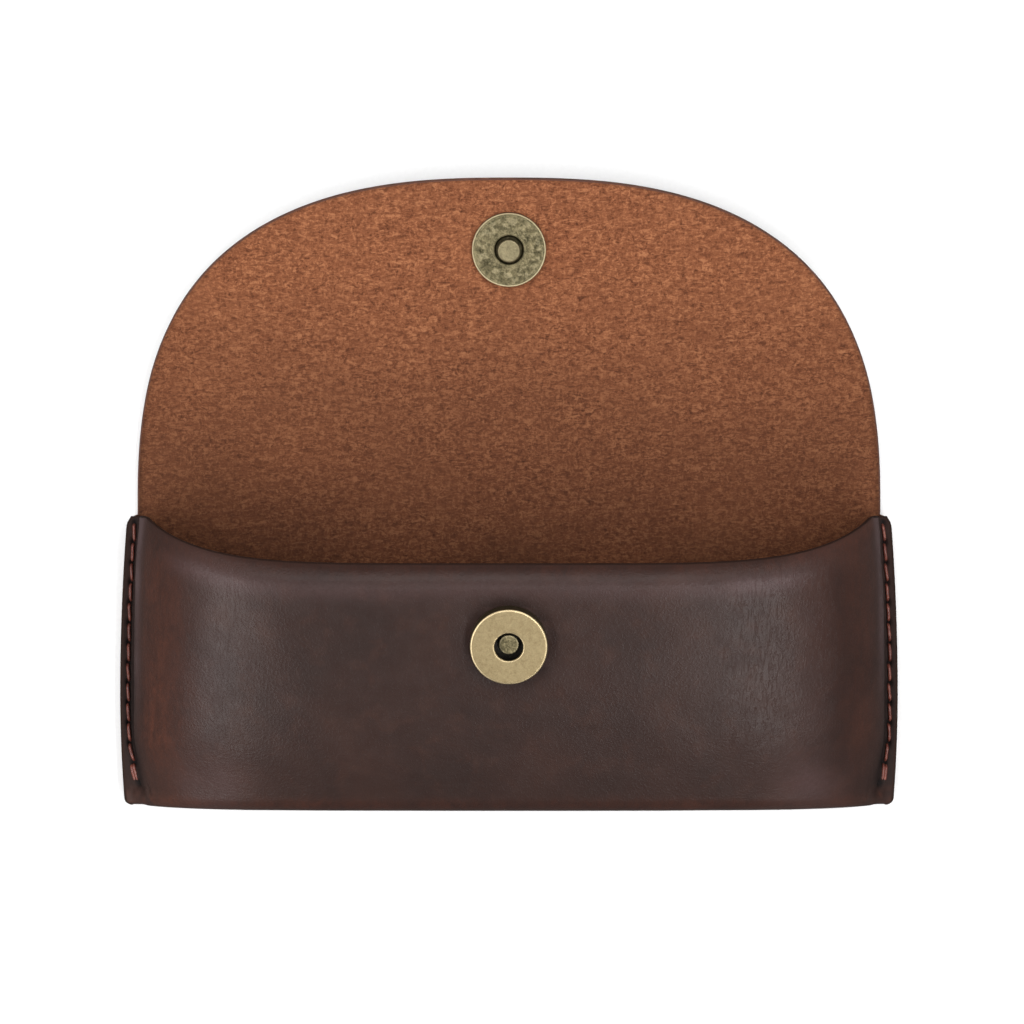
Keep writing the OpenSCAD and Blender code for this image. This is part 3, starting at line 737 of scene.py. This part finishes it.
# ---------------------------------------------------------------- threads
def twisted_tube(path, r0, plies=3, pitch=2.4, n_seg=20, phase=0.0, u0=0.0):
    """A laid thread along a path of points (mm): verts, faces and UVs."""
    P = np.asarray(path, float)
    tan = np.gradient(P, axis=0); tan /= np.linalg.norm(tan, axis=1, keepdims=True)
    ref = np.array([1.0, 0, 0])
    s = np.concatenate([[0], np.cumsum(np.linalg.norm(np.diff(P, axis=0), axis=1))])
    ph = np.linspace(0, 2 * math.pi, n_seg, endpoint=False)
    V, U = [], []
    for i in range(len(P)):
        a = ref - tan[i] * (ref @ tan[i]); a /= np.linalg.norm(a)
        b = np.cross(tan[i], a)
        lay = plies * (ph - 2 * math.pi * s[i] / (pitch * plies)) + phase
        r = r0 * (0.86 + 0.14 * np.sqrt(np.abs(np.cos(lay / 2)) + 1e-6) ** 1.0)
        if i == 0 or i == len(P) - 1:
            r = r * 0.75
        V.append(P[i] + r[:, None] * (np.cos(ph)[:, None] * a + np.sin(ph)[:, None] * b))
        U.append(np.stack([np.full(n_seg, u0 + s[i]), ph * r0], -1))
    F = []
    for i in range(len(P) - 1):
        for k in range(n_seg):
            k2 = (k + 1) % n_seg
            F.append((i * n_seg + k, i * n_seg + k2, (i + 1) * n_seg + k2, (i + 1) * n_seg + k))
    F.append(tuple(range(n_seg))[::-1]); F.append(tuple((len(P) - 1) * n_seg + k for k in range(n_seg)))
    return np.concatenate(V), F, np.concatenate(U)


def stitches(name, side, z_face, up, replaces, seed):
    rnd = np.random.default_rng(seed)
    V, F, U, D = [], [], [], []
    base_i = 0

    def add(path, phase):
        nonlocal base_i
        v, f, u = twisted_tube(path, 0.38, 3, 2.3, 18, phase, rnd.uniform(0, 50))
        V.append(v); U.append(u)
        F.extend([tuple(base_i + i for i in q) for q in f])
        # painted shade: the thread darkens where it sinks below the leather face into the holes
        depth = (z_face - v[:, 2]) * up
        D.append(ease((depth + 0.05) / 0.5))
        base_i += len(v)
    for k in range(N_HOLES - 1):
        ya, yb = HOLES_Y[k], HOLES_Y[k + 1]
        a = np.array([side * seam_x(ya), ya]); b = np.array([side * seam_x(yb), yb])
        t = np.linspace(0, 1, 30)
        d = b - a; nrm2 = np.array([-d[1], d[0]]) / np.linalg.norm(d)
        slant = (0.14 + rnd.uniform(-0.09, 0.09)) * (1 if up > 0 else -1)
        lat = slant * np.clip((t - 0.5) * 2.2, -1, 1) + rnd.uniform(-0.08, 0.08) + rnd.uniform(-0.10, 0.10) * np.sin(np.pi * t)
        # sinks into the hole at both ends, lies on the leather between
        lift = 0.02 + 0.36 * np.sin(np.pi * t) ** 0.45 + rnd.uniform(-0.03, 0.03)
        dive = -1.25 * (1 - np.clip(np.minimum(t, 1 - t) / (0.22 + rnd.uniform(-0.03, 0.03)), 0, 1)) ** 1.6
        h = lift + dive if up > 0 else np.minimum(lift + dive, 0.30) - 0.62
        trim = 0.055
        tt = trim + (1 - 2 * trim) * t
        p2 = a[None, :] + tt[:, None] * d[None, :] + lat[:, None] * nrm2[None, :]
        path = np.column_stack([p2, z_face + up * h])
        add(path, rnd.uniform(0, 6))
        if up > 0 and k == N_HOLES - 2:      # the seam is finished with a stitch back over the last one
            off2 = nrm2 * (0.62 if side > 0 else -0.62)
            p3 = p2 + off2[None, :]
            h2 = h + 0.05
            add(np.column_stack([p3, z_face + up * (h2 - 0.10)]), rnd.uniform(0, 6))
    ob = build(name, np.concatenate(V), F, [THREAD], None, np.concatenate(U), {"dark": np.concatenate(D)})
    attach(ob, "pocket"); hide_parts(replaces)
    return ob


stitches("left_front_stitches", -1, FLANGE_Z - 0.22, 1, "left_needle_thread", 5)
stitches("right_front_stitches", 1, FLANGE_Z - 0.22, 1, "right_needle_thread", 6)
stitches("left_back_stitches", -1, 0.0, -1, "left_bobbin_thread", 7)
stitches("right_back_stitches", 1, 0.0, -1, "right_bobbin_thread", 8)

# ---------------------------------------------------------------- snap
def lathe(name, prof, seg=128, relief=None, mats=None, attrs=None, close=False):
    """Turned part from (r, z) points in mm; relief(r, z, angle) moves the surface along z."""
    prof = np.asarray(prof, float)
    ang = np.linspace(0, 2 * math.pi, seg, endpoint=False)
    V = np.zeros((seg, len(prof), 3))
    for j, (r, z) in enumerate(prof):
        dz = relief(r, z, ang) if relief is not None else 0
        V[:, j, 0] = r * np.cos(ang); V[:, j, 1] = r * np.sin(ang); V[:, j, 2] = z + dz
    n = len(prof)
    F = []
    for i in range(seg):
        i2 = (i + 1) % seg
        for j in range(n - 1):
            F.append((i * n + j, i2 * n + j, i2 * n + j + 1, i * n + j + 1))
        if close:
            F.append((i * n + n - 1, i2 * n + n - 1, i2 * n, i * n))
    A = {k: np.broadcast_to(np.array([f(r, z) for r, z in prof])[None, :], (seg, n)).ravel() for k, f in attrs.items()}
    ob = build(name, V.reshape(-1, 3), F, mats, None, V.reshape(-1, 3)[:, :2], A)
    bm_merge(ob)
    return ob


def bm_merge(ob):
    import bmesh
    bm = bmesh.new(); bm.from_mesh(ob.data)
    bmesh.ops.remove_doubles(bm, verts=bm.verts, dist=1e-7)
    bmesh.ops.recalc_face_normals(bm, faces=bm.faces)
    bm.to_mesh(ob.data); bm.free()


def rounded(points, r=0.12, n=4):
    """Round each inner corner of an open profile."""
    P = [np.array(p, float) for p in points]
    out = [P[0]]
    for i in range(1, len(P) - 1):
        a, b, c = P[i - 1], P[i], P[i + 1]
        da, dc = a - b, c - b
        la, lc = np.linalg.norm(da), np.linalg.norm(dc)
        k = min(r, 0.45 * la, 0.45 * lc)
        p0, p1 = b + da / la * k, b + dc / lc * k
        for t in np.linspace(0, 1, n + 1):
            out.append((1 - t) ** 2 * p0 + 2 * t * (1 - t) * b + t * t * p1)
    out.append(P[-1])
    return out


def dense(prof, step=0.28):
    out = [np.array(prof[0], float)]
    for p in prof[1:]:
        p = np.array(p, float); q = out[-1]
        n = max(1, int(np.linalg.norm(p - q) / step))
        for k in range(1, n + 1):
            out.append(q + (p - q) * k / n)
    return out


def place(ob, y, z, tilt, dz=0.0):
    ob.rotation_euler = (tilt, 0, 0)
    ob.location = (0, (y - math.sin(tilt) * dz) * MM, (z + math.cos(tilt) * dz) * MM)


SEAT, SOCK_H, SOCK_HOLE, SNAP_R = 0.5, 3.8, 3.28, 9.0
zc = crown_z(SOCKET_Y)


def dents(seed, amp, scale):
    def f(r, z, a):
        x, y = r * np.cos(a), r * np.sin(a)
        return amp * vnoise(x * scale + 13, y * scale + 5, seed)
    return f


cup_prof = rounded([(SOCK_HOLE + 0.02, SOCK_H - 0.75), (SOCK_HOLE, SOCK_H - 0.30), (SOCK_HOLE + 0.18, SOCK_H - 0.03), (SOCK_HOLE + 0.55, SOCK_H),
                    (SNAP_R - 0.42, SOCK_H), (SNAP_R - 0.10, SOCK_H - 0.16), (SNAP_R - 0.01, SOCK_H - 0.5), (SNAP_R - 0.02, 0.1),
                    (SNAP_R - 0.12, 0.03), (SNAP_R - 0.55, 0.03), (SNAP_R - 0.55, SOCK_H - 0.5), (SOCK_HOLE + 0.35, SOCK_H - 0.5),
                    (SOCK_HOLE + 0.35, SOCK_H - 0.75), (SOCK_HOLE + 0.02, SOCK_H - 0.75)], 0.14, 3)
cup = lathe("snap_socket_cup", dense(cup_prof, 0.35), 144, lambda r, z, a: (0.015 * vnoise(r * np.cos(a) * 1.6, r * np.sin(a) * 1.6, 31) if z > 3.3 and r < 8.4 else 0 * a),
            # patina mask on the cup below its face: patina in the hole and hollows, painted shade on the outer side
            # wall
            [BRASS], {"patina_and_shade": lambda r, z: 0.75 if z < SOCK_H - 0.35 else 0.0,
                      "rub_and_highlight": lambda r, z: 0.8 if (r > SNAP_R - 0.40 and z > SOCK_H - 0.3) or (r < SOCK_HOLE + 0.28 and z > SOCK_H - 0.22) else 0.0})
place(cup, SOCKET_Y, zc, TILT, -SEAT)
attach(cup, "pocket"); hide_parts("socket_cup")

riv_prof = rounded([(0.0, 1.19), (2.20, 1.19), (2.36, 1.03), (2.36, -SEAT + 0.66), (1.6, -SEAT + 0.66), (1.6, -T + 0.24), (4.47, -T + 0.24),
                    (4.47, -T + 0.06), (4.2, -T - 0.18), (3.5, -T - 0.50), (2.2, -T - 0.69), (0.0, -T - 0.74)], 0.12, 3)
riv = lathe("snap_socket_rivet", dense(riv_prof, 0.22), 96, lambda r, z, a: (0.05 * vnoise(r * np.cos(a) * 2.6 + 3, r * np.sin(a) * 2.6, 41) if z > 1.0 and r < 2.15 else 0 * a),
            [BRASS_OLD], {"patina_and_shade": lambda r, z: 0.85 if 0 < z < 0.98 else 0.0, "rub_and_highlight": lambda r, z: 0.35 if z > 1.02 and r > 2.0 else 0.0})
place(riv, SOCKET_Y, zc, TILT)
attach(riv, "pocket"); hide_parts("socket_rivet")

SP = H[2] + 17.2 * np.array([math.cos(TONGUE_A), math.sin(TONGUE_A)])
DISC_T, DSEAT, STUD_H, STUD_R = 1.5, 0.3, 2.0, 2.75


def disc_relief(r, z, a):
    """A worn, cast surface: irregular pits and short raised marks with no pattern to read."""
    if not (3.8 < r < 8.45 and z > 0.9):
        return 0 * a
    x, y = r * np.cos(a), r * np.sin(a)
    e = ease((8.45 - r) / 0.3) * ease((r - 3.8) / 0.4)
    n = vnoise(x * 2.6 + 3, y * 2.6 + 8, 51) * 0.45 + vnoise(x * 5.2 + 1, y * 5.2 + 2, 52) * 0.7
    marks = np.clip(vnoise(a * 9.0 + 4, r * 1.1 + 1, 53) * 2.4, -1, 1) * ease((r - 5.2) / 0.6) * ease((8.1 - r) / 0.5)
    return e * (0.075 * n + 0.060 * marks - 0.05)


disc_prof = rounded([(1.68, 0.03), (SNAP_R - 0.15, 0.03), (SNAP_R - 0.01, 0.16), (SNAP_R - 0.01, DISC_T - 0.30), (SNAP_R - 0.12, DISC_T - 0.06),
                     (SNAP_R - 0.26, DISC_T), (SNAP_R - 0.46, DISC_T - 0.14), (3.60, DISC_T - 0.14), (3.15, DISC_T - 0.50), (1.68, DISC_T - 0.60), (1.68, 0.03)], 0.10, 3)
disc = lathe("snap_stud_disc", dense(disc_prof, 0.13), 192, disc_relief, [BRASS_OLD],
             # patina mask on the disc: patina in the centre recess, painted shade on the outer side wall
             {"patina_and_shade": lambda r, z: 0.80 if r < 3.57 and z > 0.5 else (0.9 if r > SNAP_R - 0.06 and z < DISC_T - 0.3 else (0.10 if r < SNAP_R - 0.5 else 0.0)),
              "rub_and_highlight": lambda r, z: 1.0 if r > SNAP_R - 0.42 and z > DISC_T - 0.22 else 0.0})
pts = np.zeros(3 * len(disc.data.vertices)); disc.data.vertices.foreach_get("co", pts); pts = pts.reshape(-1, 3) / MM
pr, pa = np.hypot(pts[:, 0], pts[:, 1]), np.arctan2(pts[:, 1], pts[:, 0]) % (2 * math.pi)
hh = np.array([float(disc_relief(r, 1.2, np.array([a]))[0]) for r, a in zip(pr, pa)])
seen = (pr > 3.85) & (pr < 8.4) & (pts[:, 2] > 0.9)
for k, sgn, lim in (("patina_and_shade", -1, 0.75), ("rub_and_highlight", 1, 0.32)):
    val = np.zeros(len(pr), np.float32); disc.data.attributes[k].data.foreach_get("value", val)
    val[seen] = np.clip(sgn * (hh[seen] + 0.05) / 0.075 * (0.30 if k == "patina_and_shade" else 0.24) + (0.10 if k == "patina_and_shade" else 0), 0, lim)
    disc.data.attributes[k].data.foreach_set("value", val)
place(disc, SP[0], SP[1], TONGUE_A, -DSEAT)
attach(disc, "tongue_segment"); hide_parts("stud_disc")

zt = DISC_T - DSEAT
pin_prof = rounded([(0.0, zt + STUD_H - 0.02), (STUD_R - 0.28, zt + STUD_H - 0.02), (STUD_R - 0.02, zt + STUD_H - 0.27), (STUD_R - 0.02, zt - 0.57),
                    (1.59, zt - 0.57), (1.59, -T - 0.34), (0.0, -T - 0.34)], 0.14, 3)
pin = lathe("snap_stud_pin", dense(pin_prof, 0.2), 96, lambda r, z, a: (0.03 * vnoise(r * np.cos(a) * 2.2 + 5, r * np.sin(a) * 2.2, 61) if z > zt + 1.7 and r < 2.3 else 0 * a),
            [BRASS_OLD], {"patina_and_shade": lambda r, z: 0.55 if z < zt + 1.2 else 0.0, "rub_and_highlight": lambda r, z: 0.55 if z > zt + STUD_H - 0.30 and r > 2.42 else 0.20 if z > zt + STUD_H - 0.30 else 0.0})
place(pin, SP[0], SP[1], TONGUE_A)
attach(pin, "tongue_segment"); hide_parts("stud_pin")

cap_prof = rounded([(0.0, -1.14), (1.5, -1.11), (2.7, -1.02), (3.7, -0.86), (4.6, -0.62), (5.15, -0.30), (5.45, 0.02), (5.48, 0.25), (1.7, 0.25), (1.7, -0.38), (0.0, -0.38)], 0.2, 3)
cap = lathe("snap_stud_cap", dense(cap_prof, 0.3), 96, lambda r, z, a: (0.02 * vnoise(r * np.cos(a) * 1.4 + 5, r * np.sin(a) * 1.4, 71) if z < -0.5 else 0 * a),
            [BRASS_OLD], {"patina_and_shade": lambda r, z: 0.7 if z > -0.1 else 0.0, "rub_and_highlight": lambda r, z: 0.45 if r < 2.5 else 0.15})
place(cap, SP[0], SP[1], TONGUE_A, -T)
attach(cap, "tongue_segment"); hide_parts("stud_cap")

for n, m in (("socket_magnet", FERRITE), ("socket_base_plate", STEEL)):
    o = frame["nodes"][n]
    o.data.materials.clear(); o.data.materials.append(m)

# ---------------------------------------------------------------- floor, lights, camera
fm, nt, b = new_mat("paper_sweep")
tc = nt.nodes.new("ShaderNodeTexCoord")
nt.links.new(ramp(nt, [(0.3, (0.83, 0.83, 0.83)), (0.7, (0.86, 0.86, 0.86))], noise(nt, tc.outputs["Object"], 900, 3, 0.5)), b.inputs["Base Color"])
b.inputs["Roughness"].default_value = 0.9
b.inputs["Specular IOR Level"].default_value = 0.1
b.inputs["Emission Color"].default_value = (1, 1, 1, 1)
b.inputs["Emission Strength"].default_value = 0.12
n = 24
g = np.linspace(-2000, 2000, n)
fx, fy = np.meshgrid(g, g, indexing="ij")
fl = build("floor", np.stack([fx.ravel(), fy.ravel(), np.full(n * n, -0.02)], -1), grid_faces(n, n), [fm])
fl.visible_glossy = False

sc.view_settings.view_transform = "Standard"
w = bpy.data.worlds.new("studio"); sc.world = w; w.use_nodes = True
w.node_tree.nodes["Background"].inputs["Color"].default_value = (1.0, 1.0, 1.0, 1)
w.node_tree.nodes["Background"].inputs["Strength"].default_value = 0.15


def area(name, loc, target, size, energy, colour=(1, 1, 1)):
    d = bpy.data.lights.new(name, "AREA"); d.shape = "RECTANGLE"; d.size, d.size_y = size
    d.energy = energy; d.color = colour
    o = bpy.data.objects.new(name, d); sc.collection.objects.link(o)
    z = (Vector(loc) - Vector(target)).normalized()
    y = Vector((0, 1, 0)); y = (y - z * y.dot(z)).normalized()
    x = y.cross(z)
    o.matrix_world = Matrix(((x.x, y.x, z.x, loc[0]), (x.y, y.y, z.y, loc[1]), (x.z, y.z, z.z, loc[2]), (0, 0, 0, 1)))
    return o


area("softbox_left", (-0.60, -0.28, 0.74), (0, -0.03, 0), (0.16, 1.30), 7.8)
area("softbox_right", (0.41, -0.28, 0.84), (0, -0.03, 0), (0.22, 1.30), 8.1)
area("softbox_top", (0.0, 0.05, 0.95), (0, 0.05, 0), (0.50, 0.20), 0.9)
area("softbox_back", (0.0, 0.62, 0.72), (0, 0.04, 0), (0.90, 0.40), 3.5)

cd = bpy.data.cameras.new("camera")
cam = bpy.data.objects.new("camera", cd); sc.collection.objects.link(cam)
cam.location = (0.00074, FOLD_Y * MM, 0.600)
cam.rotation_euler = (0, 0, 0)
cd.sensor_width = 36.0
cd.lens = 36.0 * 600 / 251.5
cd.clip_start, cd.clip_end = 0.01, 10
sc.camera = cam
